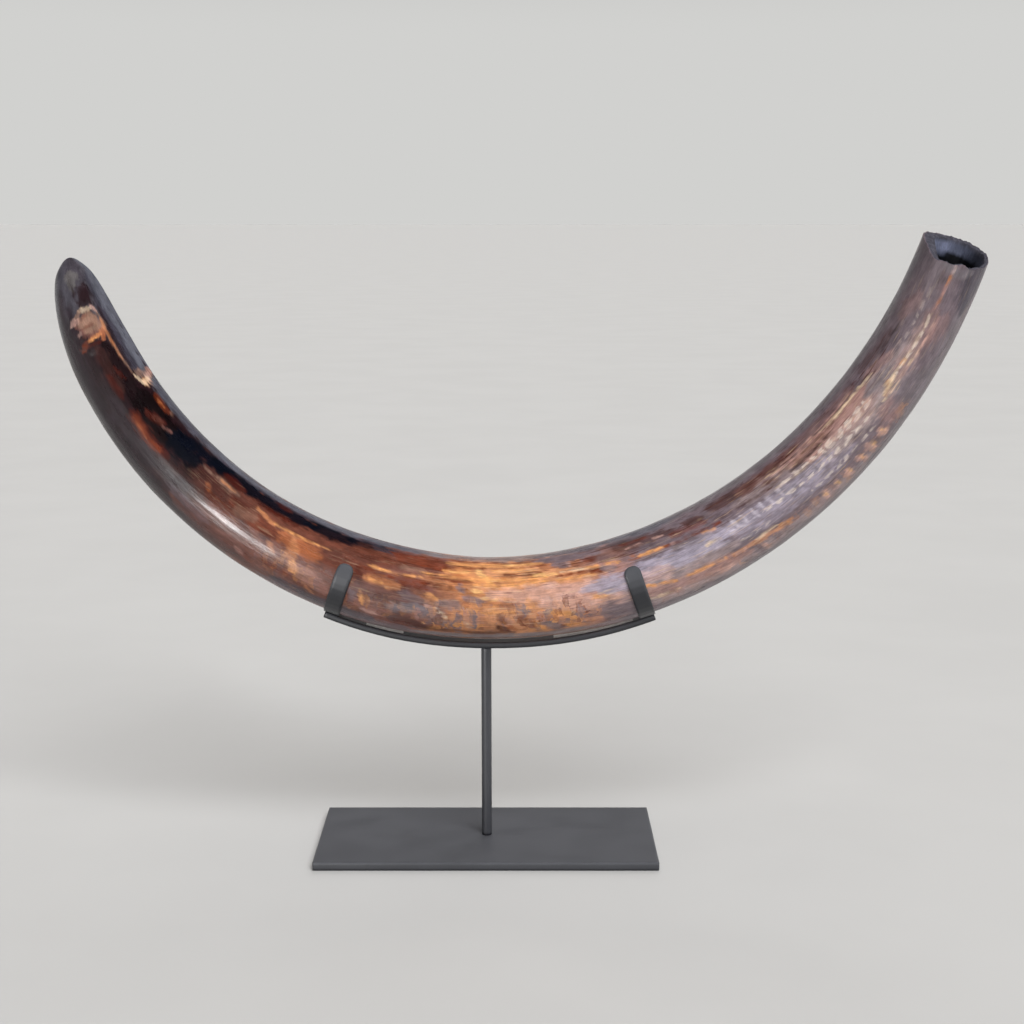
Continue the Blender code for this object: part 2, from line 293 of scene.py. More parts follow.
STAINS = {
    "smoke": "#4B484F",
    "ash": "#736F6A",
    "slate": "#3D3A45",
    "steel": "#5C5D67",
    "haze": "#7B7579",
    "ink": "#070A14",
    "soot": "#0F0809",
    "plum": "#241317",
    "dusk": "#2E232A",
    "umber": "#472822",
    "oxblood": "#45150B",
    "rust": "#6E2F17",
    "chestnut": "#68392B",
    "bark": "#764C43",
    "amber": "#A55E36",
    "ochre": "#B8774C",
    "honey": "#DB985B",
    "gold": "#EBB878",
    "cream": "#E0C5A6",
    "tan": "#8C6C5B",
    "rose": "#A87D72",
    "blush": "#CDA396",
    "shell": "#B09C98",
    "mauve": "#716369",
    "mist": "#746B70",
    "lilac": "#A198A6",
    "pearl": "#D6CCD6",
    "apricot": "#C48861",
}
GROUND = (  # mm from the tip, the ground tone there
    (0, "smoke"), (50, "smoke"), (80, "dusk"), (120, "plum"), (255, "plum"), (315, "umber"),
    (390, "chestnut"), (520, "chestnut"), (590, "bark"), (640, "ochre"), (700, "apricot"),
    (760, "apricot"), (805, "rose"), (850, "mauve"), (1375, "mauve"),
)
# Stains laid on in this order, among them the painted light and shade noted below: stain, start
# in mm from the tip and degrees round from the shown side, the same for the end, half width in mm,
# strength.
STROKES = (
    # grey along the inside and the outside of the bend: the skin's grey tone together with a
    # painted sheen along both edges
    ("steel", 4, -82, 600, -86, 9, 0.85), ("haze", 600, -86, 1340, -86, 11, 0.8),
    ("steel", 14, -106, 600, -106, 9, 0.8), ("haze", 600, -104, 1340, -104, 8, 0.6),
    ("mauve", 430, 56, 1375, 60, 10, 0.7), ("dusk", 60, 30, 330, 46, 12, 0.6),
    ("shell", 856, 36, 1130, 40, 9, 0.45), ("haze", 1130, 40, 1320, 40, 10, 0.4),
    ("slate", 1318, 34, 1375, 42, 15, 0.75), ("slate", 1330, -86, 1375, -60, 14, 0.35),
    ("slate", 186, -82, 290, -84, 8, 0.55), ("steel", 190, -72, 250, -72, 4, 0.3),
    ("steel", 742, -82, 900, -80, 12, 0.6), ("bark", 716, -70, 764, -68, 7, 0.6),
    ("apricot", 630, 24, 800, 26, 20, 0.65), ("shell", 800, 14, 930, 30, 14, 0.4),
    ("shell", 1000, -42, 1130, -36, 11, 0.4), ("shell", 1120, -18, 1260, -12, 15, 0.45),
    ("umber", 742, -68, 880, -66, 5, 0.45), ("rose", 1080, -36, 1180, -34, 9, 0.7),
    ("shell", 1090, -10, 1190, -8, 9, 0.45), ("umber", 956, -56, 1016, -54, 8, 0.45),
    ("shell", 852, 2, 958, 6, 9, 0.45), ("slate", 800, 38, 838, 42, 8, 0.55),
    ("umber", 500, 0, 612, 4, 17, 0.35), ("umber", 560, -10, 618, -6, 10, 0.35),
    ("umber", 744, -66, 800, -66, 6, 0.55), ("umber", 800, -54, 860, -50, 7, 0.4),
    ("bark", 300, 26, 440, 30, 13, 0.6), ("dusk", 8, -26, 52, -18, 10, 0.35),
    ("dusk", 180, 8, 300, 16, 12, 0.5),
    # the worn tip: grey skin, a paler cloud, a dark spot and the smooth blue-grey flat
    ("ash", 24, -10, 42, -6, 7, 0.4), ("slate", 30, -66, 160, -63, 11, 0.9),
    ("steel", 12, -86, 172, -84, 7, 0.9), ("tan", 157, -68, 160, -57, 6.5, 0.6),
    ("plum", 44, -34, 62, -20, 10, 0.8), ("plum", 50, -30, 58, -24, 5, 0.8),
    ("plum", 66, -48, 148, -53, 4, 0.65), ("soot", 118, -26, 190, -28, 11, 0.6),
    ("umber", 118, -12, 168, -14, 8, 0.4), ("oxblood", 143, -24, 162, -31, 2.4, 0.6),
    ("oxblood", 150, -9, 176, -8, 4, 0.65),
    # the knobbly scar and the thin ledge that borders the flat; the cream line across the scar's
    # near end is a painted highlight on its raised edge, and the oxblood line at 111 mm a painted
    # shadow under the ochre ledge
    ("bark", 82, -22, 97, -9, 15.5, 0.9), ("tan", 79, -22, 94, -12, 12, 0.85),
    ("cream", 70, -29, 70, -8, 3, 0.45), ("tan", 70, -8, 78, 6, 3, 0.6),
    ("blush", 78, 4, 84, 17, 4, 0.5), ("chestnut", 76, -18, 79, -8, 2, 0.5),
    ("tan", 84, -20, 86, -4, 2.2, 0.4), ("chestnut", 89, -22, 91, -2, 1.8, 0.55),
    ("tan", 95, -20, 96, -4, 2.2, 0.5), ("umber", 99, -8, 100, 6, 2.4, 0.5),
    ("blush", 93, 4, 97, 10, 2.2, 0.3), ("amber", 97, -34, 110, -29, 3.2, 0.65),
    ("ochre", 103, -27, 106, -3, 2.6, 0.85), ("honey", 105, -18, 106, -6, 1.5, 0.6),
    ("oxblood", 111, -22, 111, 2, 2.6, 0.75), ("rust", 106, 1, 114, 14, 3.2, 0.7),
    ("blush", 67, -30, 76, -38, 2.2, 0.6), ("tan", 76, -38, 100, -41, 2.2, 0.6),
    ("ochre", 84, -39, 140, -45, 2, 0.55), ("tan", 120, -43, 166, -49, 2, 0.5),
    ("tan", 160, -92, 177, -62, 8, 0.7), ("rose", 156, -96, 168, -82, 5, 0.6),
    ("blush", 163, -88, 174, -72, 5, 0.65), ("honey", 170, -74, 176, -58, 5, 0.5),
    ("cream", 169, -80, 176, -58, 4.4, 0.6), ("cream", 177, -57, 162, -49, 3.4, 0.55),
    # the dark inside of the bend on the left arm
    ("soot", 182, -42, 262, -44, 10, 0.92), ("soot", 186, -24, 252, -24, 7, 0.8),
    ("ink", 246, -42, 288, -36, 15, 0.97), ("soot", 284, -22, 304, -18, 8, 0.5),
    ("ink", 262, -57, 330, -60, 9, 0.97), ("slate", 300, -73, 540, -75, 5, 0.85),
    ("ink", 300, -61, 450, -62, 9, 0.97), ("ink", 440, -62, 500, -64, 9, 0.95),
    ("ink", 490, -65, 548, -68, 6, 0.8), ("slate", 530, -66, 580, -68, 6, 0.5),
    ("oxblood", 322, -55, 350, -52, 4.5, 0.7), ("oxblood", 372, -50, 430, -49, 3, 0.8),
    ("oxblood", 398, -72, 414, -68, 4, 0.5), ("steel", 290, -82, 560, -84, 6, 0.8),
    ("rust", 192, -61, 220, -57, 4.4, 0.5), ("amber", 200, -59, 214, -57, 1.9, 0.65),
    ("tan", 222, -64, 226, -60, 3, 0.35), ("oxblood", 207, -29, 230, -40, 4.6, 0.75),
    ("chestnut", 214, -34, 228, -42, 2.4, 0.5), ("bark", 230, -37, 244, -41, 1.9, 0.6),
    ("oxblood", 194, -9, 262, -9, 6.5, 0.8), ("rust", 200, -9, 252, -8, 4.4, 0.8),
    ("amber", 208, -9, 232, -7, 1.8, 0.4), ("mauve", 290, 16, 340, 20, 6, 0.4),
    # the brown left arm
    ("umber", 300, -24, 372, -20, 12, 0.5), ("rust", 352, -26, 410, -20, 10, 0.4),
    ("oxblood", 296, -32, 334, -28, 5, 0.4), ("oxblood", 340, -34, 376, -30, 4, 0.45),
    ("rust", 322, -12, 362, -10, 5, 0.35), ("tan", 316, -42, 352, -40, 3, 0.55),
    ("ochre", 322, -42, 345, -41, 1.8, 0.6), ("tan", 298, -39, 318, -38, 2, 0.5),
    ("tan", 356, -18, 384, -26, 6, 0.4), ("amber", 313, -24, 322, -18, 3, 0.5),
    ("ochre", 376, -42, 404, -34, 2.4, 0.8), ("oxblood", 398, -12, 414, -8, 4.8, 0.8),
    ("umber", 370, -12, 384, -4, 4, 0.5), ("amber", 416, -28, 468, -20, 9, 0.75),
    ("honey", 404, -36, 476, -35, 1.7, 0.8), ("ochre", 430, -28, 446, 2, 5, 0.75),
    ("honey", 446, 0, 453, 13, 4.2, 0.9), ("ochre", 414, -6, 424, 2, 4, 0.6),
    ("rust", 416, 22, 444, 19, 4.4, 0.6), ("ochre", 466, 28, 474, 34, 3.6, 0.75),
    ("rose", 380, 28, 388, 30, 5, 0.5), ("rose", 456, 6, 490, 22, 9, 0.4),
    ("umber", 468, -34, 495, -28, 6, 0.4), ("rust", 396, 30, 404, 48, 6, 0.4),
    ("dusk", 300, 38, 385, 42, 10, 0.25), ("oxblood", 330, 40, 404, 46, 6, 0.3),
    ("slate", 432, 43, 545, 45, 8, 0.75),
    # left of the middle: lines above, soft patches below
    ("umber", 490, -46, 532, -42, 6, 0.4), ("rust", 552, -64, 614, -57, 8, 0.75),
    ("tan", 560, -45, 590, -43, 4, 0.5), ("honey", 526, -32, 558, -32, 1.9, 0.9),
    ("honey", 556, -31, 592, -33, 1.7, 0.75), ("rust", 514, -27, 606, -26, 2.8, 0.9),
    ("oxblood", 514, -25, 525, -8, 5, 0.6), ("ochre", 528, -19, 566, -16, 5, 0.6),
    ("honey", 530, -18, 548, -16, 2.2, 0.7), ("honey", 550, -14, 558, -14, 2, 0.6),
    ("rust", 566, -21, 600, -19, 2.2, 0.6), ("mauve", 572, -10, 596, -4, 6, 0.5),
    ("rose", 530, 20, 560, 26, 10, 0.4), ("umber", 532, 4, 562, 6, 4, 0.5),
    ("honey", 526, 4, 531, 20, 2.5, 0.9), ("blush", 530, 29, 548, 32, 3.2, 0.55),
    ("mauve", 514, 6, 518, 24, 4, 0.6), ("mist", 560, 14, 592, 6, 7, 0.85),
    ("umber", 564, 4, 571, 8, 3, 0.75), ("umber", 562, 28, 590, 34, 8, 0.6),
    # the golden middle: bands above
    ("honey", 614, -65, 740, -65, 4, 0.6), ("rust", 622, -73, 745, -70, 2, 0.7),
    ("rust", 616, -58, 668, -59, 1.9, 0.8), ("rust", 690, -60, 745, -59, 1.5, 0.6),
    ("honey", 616, -51, 652, -51, 3.4, 0.7), ("gold", 624, -51, 648, -51, 1.6, 0.6),
    ("honey", 676, -54, 726, -54, 3, 0.7), ("gold", 690, -66, 728, -65, 1.8, 0.6),
    ("gold", 672, -40, 716, -41, 1.8, 0.7), ("gold", 660, -55, 672, -35, 4, 0.75),
    ("rust", 690, -48, 736, -47, 2.2, 0.85), ("honey", 590, -41, 742, -40, 3, 0.85),
    ("amber", 628, -46, 640, -44, 3, 0.6), ("amber", 684, -44, 700, -42, 3.4, 0.6),
    ("rust", 598, -36, 652, -35.5, 1.9, 0.9), ("rust", 676, -36, 730, -35.5, 1.2, 0.6),
    ("honey", 652, -32, 742, -31, 3, 0.9), ("gold", 726, -44, 753, -41, 2.3, 0.75),
    ("cream", 758, -43, 794, -41, 2.1, 0.7), ("rust", 752, -36.5, 802, -35.5, 2.8, 0.9),
    ("blush", 710, -28, 752, -25, 3.4, 0.75), ("honey", 752, -30, 802, -29, 2, 0.8),
    ("rust", 736, -56, 800, -53, 5, 0.5), ("mauve", 752, -57, 767, -53, 5, 0.85),
    ("blush", 770, -59, 771, -50, 2.2, 0.6), ("mauve", 738, -70, 806, -63, 7, 0.9),
    # the golden middle: broken patches below, where the broad blush and mist strokes along the
    # front are partly pink and grey stain and partly painted highlight
    ("oxblood", 598, -26, 646, -24, 2.8, 0.65), ("mauve", 636, -31, 644, -22, 3.6, 0.7),
    ("gold", 652, -24, 664, -23, 2.2, 0.85), ("honey", 652, -19, 692, -19, 1.7, 0.8),
    ("blush", 672, -17, 800, -14, 8, 0.6), ("gold", 663, -14, 684, -13, 2, 0.85),
    ("honey", 680, -14, 702, -12, 2.2, 0.6), ("honey", 714, -13, 722, -10, 2.6, 0.8),
    ("mauve", 641, -14, 660, -10, 4.6, 0.75), ("rust", 664, -6, 702, -4, 3.6, 0.45),
    ("blush", 732, -2, 790, 6, 10, 0.7), ("honey", 599, -13, 613, -7, 2.8, 0.7),
    ("blush", 600, 2, 607, 3, 2.4, 0.75), ("mist", 600, 8, 616, 26, 9, 0.75),
    ("mist", 618, -4, 636, 0, 6, 0.6), ("cream", 612, 4, 624, 18, 2.2, 0.85),
    ("tan", 616, 22, 634, 34, 6, 0.6), ("mauve", 634, 10, 638, 32, 4, 0.75),
    ("honey", 640, 0, 654, 5, 2.8, 0.9), ("honey", 642, 9, 649, 29, 3.3, 0.9),
    ("cream", 646, 20, 650, 32, 1.8, 0.6), ("mist", 656, 9, 657, 33, 3.4, 0.75),
    ("ochre", 665, 12, 672, 30, 5, 0.8), ("honey", 664, 5, 702, 6, 2.3, 0.85),
    ("rose", 666, 2, 672, 4, 2.4, 0.7), ("chestnut", 684, 10, 690, 22, 4.4, 0.75),
    ("rose", 692, 17, 697, 26, 3.6, 0.5), ("oxblood", 681, 28, 692, 38, 5, 0.9),
    ("amber", 693, 29, 702, 38, 3.6, 0.75), ("mist", 709, -2, 712, 11, 4.6, 0.8),
    ("rust", 706, 16, 722, 32, 6, 0.8), ("amber", 726, 14, 738, 24, 5, 0.65),
    ("honey", 725, 28, 732, 40, 3.5, 0.85), ("honey", 740, 12, 758, 16, 3.6, 0.9),
    ("mist", 738, 28, 748, 40, 5.4, 0.8), ("honey", 754, 27, 759, 40, 3.5, 0.9),
    ("cream", 764, 12, 768, 21, 2.2, 0.7), ("mauve", 762, 22, 766, 38, 2.8, 0.6),
    ("rose", 770, 18, 788, 40, 8, 0.5), ("honey", 788, 0, 806, 3, 3, 0.75),
    ("umber", 590, 40, 700, 44, 3.6, 0.7), ("haze", 600, 54, 770, 52, 6, 0.7),
    # towards the root: above the bloom
    ("rust", 790, -56, 806, -54, 4, 0.65), ("umber", 828, -57, 905, -54, 7, 0.6),
    ("rust", 838, -61, 880, -59, 3, 0.5), ("blush", 844, -53, 864, -52, 1.8, 0.65),
    ("blush", 878, -53, 893, -52, 1.6, 0.6), ("honey", 790, -42, 807, -40, 2.5, 0.85),
    ("rust", 790, -35, 806, -33, 4, 0.85), ("mist", 806, -34, 820, -32, 4.5, 0.7),
    ("honey", 812, -40, 833, -38, 2.2, 0.85), ("amber", 844, -39, 858, -38, 3, 0.8),
    ("honey", 856, -38, 891, -37, 2.2, 0.95), ("rust", 888, -36, 962, -31, 2.6, 0.85),
    ("blush", 897, -36, 902, -36, 1.9, 0.7), ("rust", 902, -47, 945, -44, 4, 0.5),
    ("umber", 918, -56, 942, -52, 4.4, 0.75), ("umber", 956, -60, 1080, -54, 8, 0.5),
    ("bark", 1000, -54, 1185, -50, 9, 0.4), ("oxblood", 1030, -56, 1070, -54, 4, 0.35),
    ("honey", 936, -28, 952, -26, 2, 0.85), ("umber", 962, -36, 1124, -33, 2.2, 0.5),
    ("plum", 1062, -32, 1128, -31, 1.5, 0.7), ("umber", 1020, -41, 1120, -40.5, 1.2, 0.6),
    ("blush", 1040, -44, 1146, -44, 1.2, 0.75), ("cream", 1120, -44, 1190, -42, 1.7, 0.9),
    ("cream", 1178, -41, 1212, -40, 1.2, 0.75), ("tan", 1040, -37.5, 1130, -37, 1.4, 0.6),
    ("blush", 1056, -49, 1180, -48, 1.2, 0.6), ("umber", 1050, -46.5, 1190, -46, 1.1, 0.5),
    ("cream", 1036, -26, 1186, -19, 1.5, 0.55), ("oxblood", 1184, -58, 1192, -52, 3, 0.5),
    # towards the root: the lilac bloom, a blue-grey stain together with a painted reflection of a
    # broad light in front, and the warm line under it
    ("lilac", 798, -13, 838, -8, 11, 0.85), ("mauve", 794, 22, 836, 34, 12, 0.85),
    ("lilac", 842, -16, 965, -13, 10, 0.9), ("lilac", 960, -14, 1104, -10, 10, 0.65),
    ("lilac", 985, 4, 1130, 6, 7, 0.45), ("blush", 848, -9, 886, -5, 8, 0.45),
    ("blush", 1080, -25, 1186, -17, 3.4, 0.6), ("mist", 896, -29, 942, -24, 4.6, 0.5),
    ("cream", 933, -13, 951, -11, 2.1, 0.9), ("rose", 850, 17, 962, 28, 10, 0.6),
    ("honey", 851, 6, 886, 12, 2.5, 0.85), ("honey", 898, 12, 946, 17, 2.4, 0.75),
    ("cream", 851, 27, 887, 28, 2.3, 0.75), ("blush", 928, 32, 944, 35, 4.6, 0.65),
    ("apricot", 954, 20, 1028, 24, 3.6, 0.7), ("blush", 958, 21, 971, 22, 2.4, 0.6),
    ("cream", 984, 18, 1012, 18, 1.7, 0.7), ("honey", 1015, 21, 1026, 30, 2.8, 0.75),
    ("mauve", 980, 28, 982, 50, 4.5, 0.6), ("mauve", 1004, 28, 1006, 50, 5, 0.6),
    ("blush", 988, 34, 993, 44, 3.4, 0.6),
    # the last stretch before the root
    ("rose", 1150, -14, 1182, -16, 8, 0.35), ("rose", 1182, 4, 1188, 30, 7, 0.35),
    ("mist", 1186, -26, 1222, -22, 5, 0.5), ("mist", 1204, 16, 1238, 30, 12, 0.5),
    ("rose", 1208, -44, 1240, -34, 6, 0.35), ("umber", 1208, -60, 1262, -56, 5, 0.35),
    ("plum", 1214, -49, 1280, -47, 2.2, 0.5), ("rose", 1226, -8, 1300, -8, 9, 0.3),
    ("rose", 1268, 4, 1298, 16, 8, 0.25), ("rose", 1288, -50, 1312, -38, 8, 0.25),
    ("oxblood", 1322, -12, 1342, -20, 4, 0.25), ("cream", 1191, -2, 1221, -1, 1.7, 0.9),
    ("honey", 1197, -4, 1216, -13, 2.5, 0.8), ("cream", 1197, -7, 1224, -12, 2, 0.85),
    ("honey", 1234, -12, 1245, -12, 2.1, 0.7), ("cream", 1239, -2, 1258, -1, 1.5, 0.8),
    ("cream", 1206, -13, 1300, -10, 1.3, 0.55), ("blush", 1196, -2, 1292, 0, 1.3, 0.5),
    ("blush", 1261, 0, 1277, 0, 1.5, 0.75), ("rose", 1307, -8, 1352, -6, 2.2, 0.6),
    ("ochre", 1313, -7, 1321, -6, 2, 0.8), ("rose", 1323, -6, 1333, -6, 2.4, 0.7),
    ("ochre", 1334, -6, 1346, -6, 2, 0.85), ("haze", 1352, -20, 1354, 24, 5, 0.5),
    ("shell", 1348, -5, 1358, -5, 2, 0.7),
)
# Rows of like marks: stain, first and last mark, spacing in mm, each mark's run (mm along, degrees
# round), half width in mm, strength.
ROWS = (
    ("pearl", (972, -26), (1036, -24), 14, (4, 15), 2.3, 0.75),
    ("mist", (1040, -22), (1118, -19), 15, (1, 12), 2.4, 0.5),
    ("pearl", (966, -11), (988, -10), 14, (9, 0), 1.8, 0.8),
    ("blush", (1074, 25), (1164, 23), 18, (2, 12), 4.4, 0.75),
    ("gold", (1074, 26), (1164, 25), 18, (2, 8), 2.4, 0.7),
    ("mauve", (1065, 24), (1173, 24), 18, (2, 22), 2.8, 0.6),
)

# Where each kind of fine figure shows, laid on like the stains.
FIGURE = (
    ("streaks", 500, -20, 650, -10, 40, 0.2), ("streaks", 650, -20, 860, -10, 36, 0.5),
    ("streaks", 860, -20, 1230, -14, 30, 0.45), ("streaks", 300, -20, 440, -10, 25, 0.2),
    ("streaks", 1030, -45, 1190, -43, 7, 0.6), ("streaks", 1200, 0, 1360, 0, 50, 0.2),
    ("streaks", 420, 180, 1300, 180, 70, 0.3), ("lines", 470, -50, 860, -50, 20, 1),
    ("lines", 860, -50, 1250, -48, 18, 1), ("lines", 420, 0, 1300, 0, 60, 0.3),
    ("lines", 300, 180, 1300, 180, 80, 0.6), ("lines", 120, 90, 560, 90, 30, 0.6),
    ("streaks", 200, 90, 520, 90, 25, 0.2), ("blocks", 600, 16, 790, 16, 22, 0.85),
    ("blocks", 400, 16, 570, 20, 20, 0.28), ("blocks", 850, 34, 1200, 34, 10, 0.3),
    ("blocks", 560, 150, 800, 150, 30, 0.5), ("dashes", 1040, -27, 1180, -23, 3, 1),
    ("dashes", 1104, -20, 1184, -16, 3, 0.9), ("dashes", 1010, -11, 1168, -5, 3, 1),
    ("dashes", 964, 5, 1012, 6, 2.4, 0.8), ("dashes", 1068, 9, 1166, 12, 2.4, 0.9),
    ("dashes", 1224, -11, 1296, -10, 2.4, 0.9), ("dashes", 1250, -28, 1330, -27, 2.6, 0.7),
    ("dashes", 1000, 172, 1180, 176, 3, 0.9), ("dashes", 700, 130, 860, 134, 3, 0.8),
)
FIGURES = ("streaks", "lines", "blocks", "dashes")  # kept as red, green, blue and alpha
BARE_FIGURE = (0.04, 0.14, 0.0, 0.0)  # the shares of these four where no zone is laid
CHECK_STAINS = ("mauve", "rust", "honey", "rose", "chestnut", "apricot", "ochre", "mist")
DARK_STAINS = ("ink", "soot")  # these hide the figure
SOFT_STAINS = ("lilac", "mauve", "haze", "shell", "mist", "rose", "steel", "dusk")
SOFT_RUN_ON = 2.5  # how much further the ends of a broad stroke of a soft stain fade out
THIN_STROKE = 3.5  # mm, the half width below which a stroke keeps its line
BREAKS_FROM = 190  # mm from the tip, past the scar, where the grain breaks up thin strokes
FIGURE_RISE = (120, 330)  # mm from the tip between which the figure comes in
BREAK_TONE = "#484750"
HOLLOW_TONE = "#585C6E"
HOLLOW_SHADE_DEPTHS = (1.115, 1.145)  # the depths, as tusk_grid counts them, where painted shade turns the hollow near black
BACK_STAINS = (  # mm from the tip up to which the hidden half draws from these stains
    (260, ("slate", "plum", "dusk", "soot", "steel")),
    (520, ("ink", "umber", "chestnut", "rust", "tan", "dusk")),
    (860, ("amber", "honey", "rust", "chestnut", "mauve", "rose", "umber")),
    (1375, ("lilac", "mauve", "rose", "cream", "umber", "amber", "dusk")),
)
BACK_STROKES = 90
BACK_DEGREES = (62, 255)


def tone(stain_and_painted_light):
    """A named stain or a hex colour as an array of linear red, green and blue."""
    return np.array(linear(STAINS.get(stain_and_painted_light, stain_and_painted_light))[:3])


def stroke_share(place, angle, radius, line, half_width, fray, run_on=1.0):
    """1 along the middle of a stroke, falling to 0 at its frayed edge.

    A run_on above 1 lets the ends fade out that much further along the tusk.
    """
    start, degrees, end, end_degrees = line
    x = place - start
    y = radius * wrapped(angle - math.radians(degrees))
    run = end - start
    rise = radius * math.radians(end_degrees - degrees)
    u = np.clip((x * run + y * rise) / (run * run + rise * rise), 0, 1)
    distance = np.hypot((x - u * run) / run_on, y - u * rise)
    width = half_width * (0.55 + 0.45 * np.sqrt(np.maximum(0, 1 - (2 * u - 1) ** 4)))
    return 1 - smoothstep(0.6, 1.35, distance / width + 0.4 * fray)


def back_strokes():
    """Stains for the hidden half, drawn by lot in the same tones as the shown side."""
    lot = random.Random(11)
    strokes = []
    for _ in range(BACK_STROKES):
        place = lot.uniform(30, 1330)
        stain_and_painted_light = lot.choice(next(stains for end, stains in BACK_STAINS if place < end))
        thin = stain_and_painted_light in ("cream", "honey", "tan", "soot")
        length = lot.uniform(25, 120)
        degrees = lot.uniform(*BACK_DEGREES)
        width = lot.uniform(1.2, 3) if thin else lot.uniform(4, 13)
        line = (place, degrees, place + length, degrees + lot.uniform(-5, 5))
        strokes.append((stain_and_painted_light, *line, width, lot.uniform(0.5, 0.85)))
    return strokes


def row_strokes():
    """The rows of like marks as single strokes, each shifted a little by lot."""
    lot = random.Random(5)
    strokes = []
    for stain_and_painted_light, first, last, spacing, run, half_width, strength in ROWS:
        count = max(1, round((last[0] - first[0]) / spacing))
        for k in range(count + 1):
            place = first[0] + (last[0] - first[0]) * k / count + lot.uniform(-1.5, 1.5)
            degrees = first[1] + (last[1] - first[1]) * k / count + lot.uniform(-1, 1)
            line = (place, degrees, place + run[0] * lot.uniform(0.75, 1.1), degrees + run[1])
            strokes.append((stain_and_painted_light, *line, half_width, strength * lot.uniform(0.7, 1.05)))
    return strokes


def paint(place, angle, radius, inside):
    """The colour of the stains and of the painted light and shade, the figure shares and the
    rawness at every point of the grid.
    """
    outer = np.minimum(radius, body_radius(np.minimum(place, TUSK_LENGTH / MM)))
    outer = np.maximum(outer, 2.0)
    at = (place, angle, outer)
    drift = grain_noise(*at, 46, 16, seed=1.1, octaves=2)
    sway = grain_noise(*at, 60, 14, seed=7.7)
    fray = grain_noise(*at, 12, 2.6, seed=9.4, octaves=2)
    breaks = grain_noise(*at, 7, 4, seed=3.8)
    drifted = place + 5 * drift * smoothstep(0, 60, place)
    swayed = angle + sway * 1.5 / outer

    tones = np.array([tone(stain_and_painted_light) for _, stain_and_painted_light in GROUND])
    stops = [stop for stop, _ in GROUND]
    mottled = place + 28 * drift
    colour = np.stack([np.interp(mottled, stops, tones[:, k]) for k in range(3)], axis=-1)
    covered = np.zeros_like(place)
    for stain_and_painted_light, *line, half_width, strength in [*back_strokes(), *STROKES, *row_strokes()]:
        along = drifted if half_width > THIN_STROKE else place
        run_on = SOFT_RUN_ON if stain_and_painted_light in SOFT_STAINS and half_width > 5 else 1.0
        share = stroke_share(along, swayed, outer, line, half_width, fray, run_on) * strength
        if half_width < THIN_STROKE and line[0] > BREAKS_FROM:
            share = share * np.clip(0.8 + 0.9 * breaks, 0.15, 1)
        colour += (tone(stain_and_painted_light) - colour) * share[..., None]
        covered += (float(stain_and_painted_light in DARK_STAINS) - covered) * share

    figure = np.zeros((*place.shape, 4)) + BARE_FIGURE
    for name, *line, half_width, strength in FIGURE:
        k = FIGURES.index(name)
        share = stroke_share(drifted, swayed, outer, line, half_width, fray)
        figure[..., k] = np.maximum(figure[..., k], share * strength)
    figure *= (smoothstep(*FIGURE_RISE, place) * (1 - covered))[..., None]

    # the broken face and the hollow; the hollow gets paler streaks as painted highlights, is darker
    # outside the bend, and painted shade turns it near black below its mouth
    wall = smoothstep(0.0, 0.2, inside)
    hollow = smoothstep(1.0, 1.05, inside)
    wall_tone = tone(BREAK_TONE) * (1 + 0.25 * fray[..., None])
    hollow_tone = tone(HOLLOW_TONE) * (1 + 0.7 * sway[..., None])
    hollow_tone *= 1 - 0.6 * smoothstep(0.3, 0.9, np.sin(angle))[..., None]
    deep = inside + 0.03 * np.sin(angle) + 0.008 * breaks
    hollow_tone *= 1 - 0.97 * smoothstep(*HOLLOW_SHADE_DEPTHS, deep)[..., None]
    colour += (wall_tone - colour) * wall[..., None]
    colour += (hollow_tone - colour) * hollow[..., None]
    figure *= (1 - wall)[..., None]
    raw = np.maximum(wall, 0.8 * scar_share(place, wrapped(angle), outer))
    return np.clip(colour, 0, 1), np.clip(figure, 0, 1), raw


# ---------------- materials

LINE_TONE = "#4A2012"
STREAK_TONE = "#DDBD98"
DASH_TONE = "#E2D2C4"
DASH_SPACING = 14.5 * MM
SPECK_TONE = "#5C5D62"
PAINTED_HIGHLIGHT_RUBBED = 1.22  # how much paler the painted highlight on faces that look up is where the coat is rubbed
COAT_ROUNDING = 5 * MM
COAT_PEEL = 0.1 * MM
FIBRE_DEPTH = 0.4 * MM
SHARE, UNDER, OVER = 0, 6, 7  # a colour Mix node's inputs, by number since others share names
TIMES = {"data_type": "RGBA", "blend_type": "MULTIPLY"}


def new_material(name):
    """A new node material, and its tree and shader."""
    material = bpy.data.materials.new(name)
    material.use_nodes = True
    tree = material.node_tree
    return material, tree, tree.nodes["Principled BSDF"]


def fill(tree, node, inputs):
    """Gives each named or numbered input a value or another node's output."""
    for name, value in inputs.items():
        if isinstance(value, bpy.types.NodeSocket):
            tree.links.new(value, node.inputs[name])
        else:
            node.inputs[name].default_value = value


def add(tree, kind, inputs, **settings):
    """Adds a node with its settings and links, and returns its first output in use."""
    made = tree.nodes.new(kind)
    for name, value in settings.items():
        setattr(made, name, value)
    fill(tree, made, inputs)
    return next(output for output in made.outputs if output.enabled)


def layered(tree, under, over, *shares):
    """The colour over laid on the colour under, by the product of the shares."""
    share = shares[0]
    for other in shares[1:]:
        share = add(tree, "ShaderNodeMath", {0: share, 1: other}, operation="MULTIPLY")
    return add(tree, "ShaderNodeMix", {SHARE: share, UNDER: under, OVER: over}, data_type="RGBA")


def times(colour, factor):
    """The same opaque colour, darker or paler by a factor."""
    return (*[factor * c for c in colour[:3]], 1.0)


def cell_scale(length, width):
    """The scale at which a cell of this length along the grain and width across it is 1."""
    return tuple(1 / (size * MM) for size in (length, width, width))


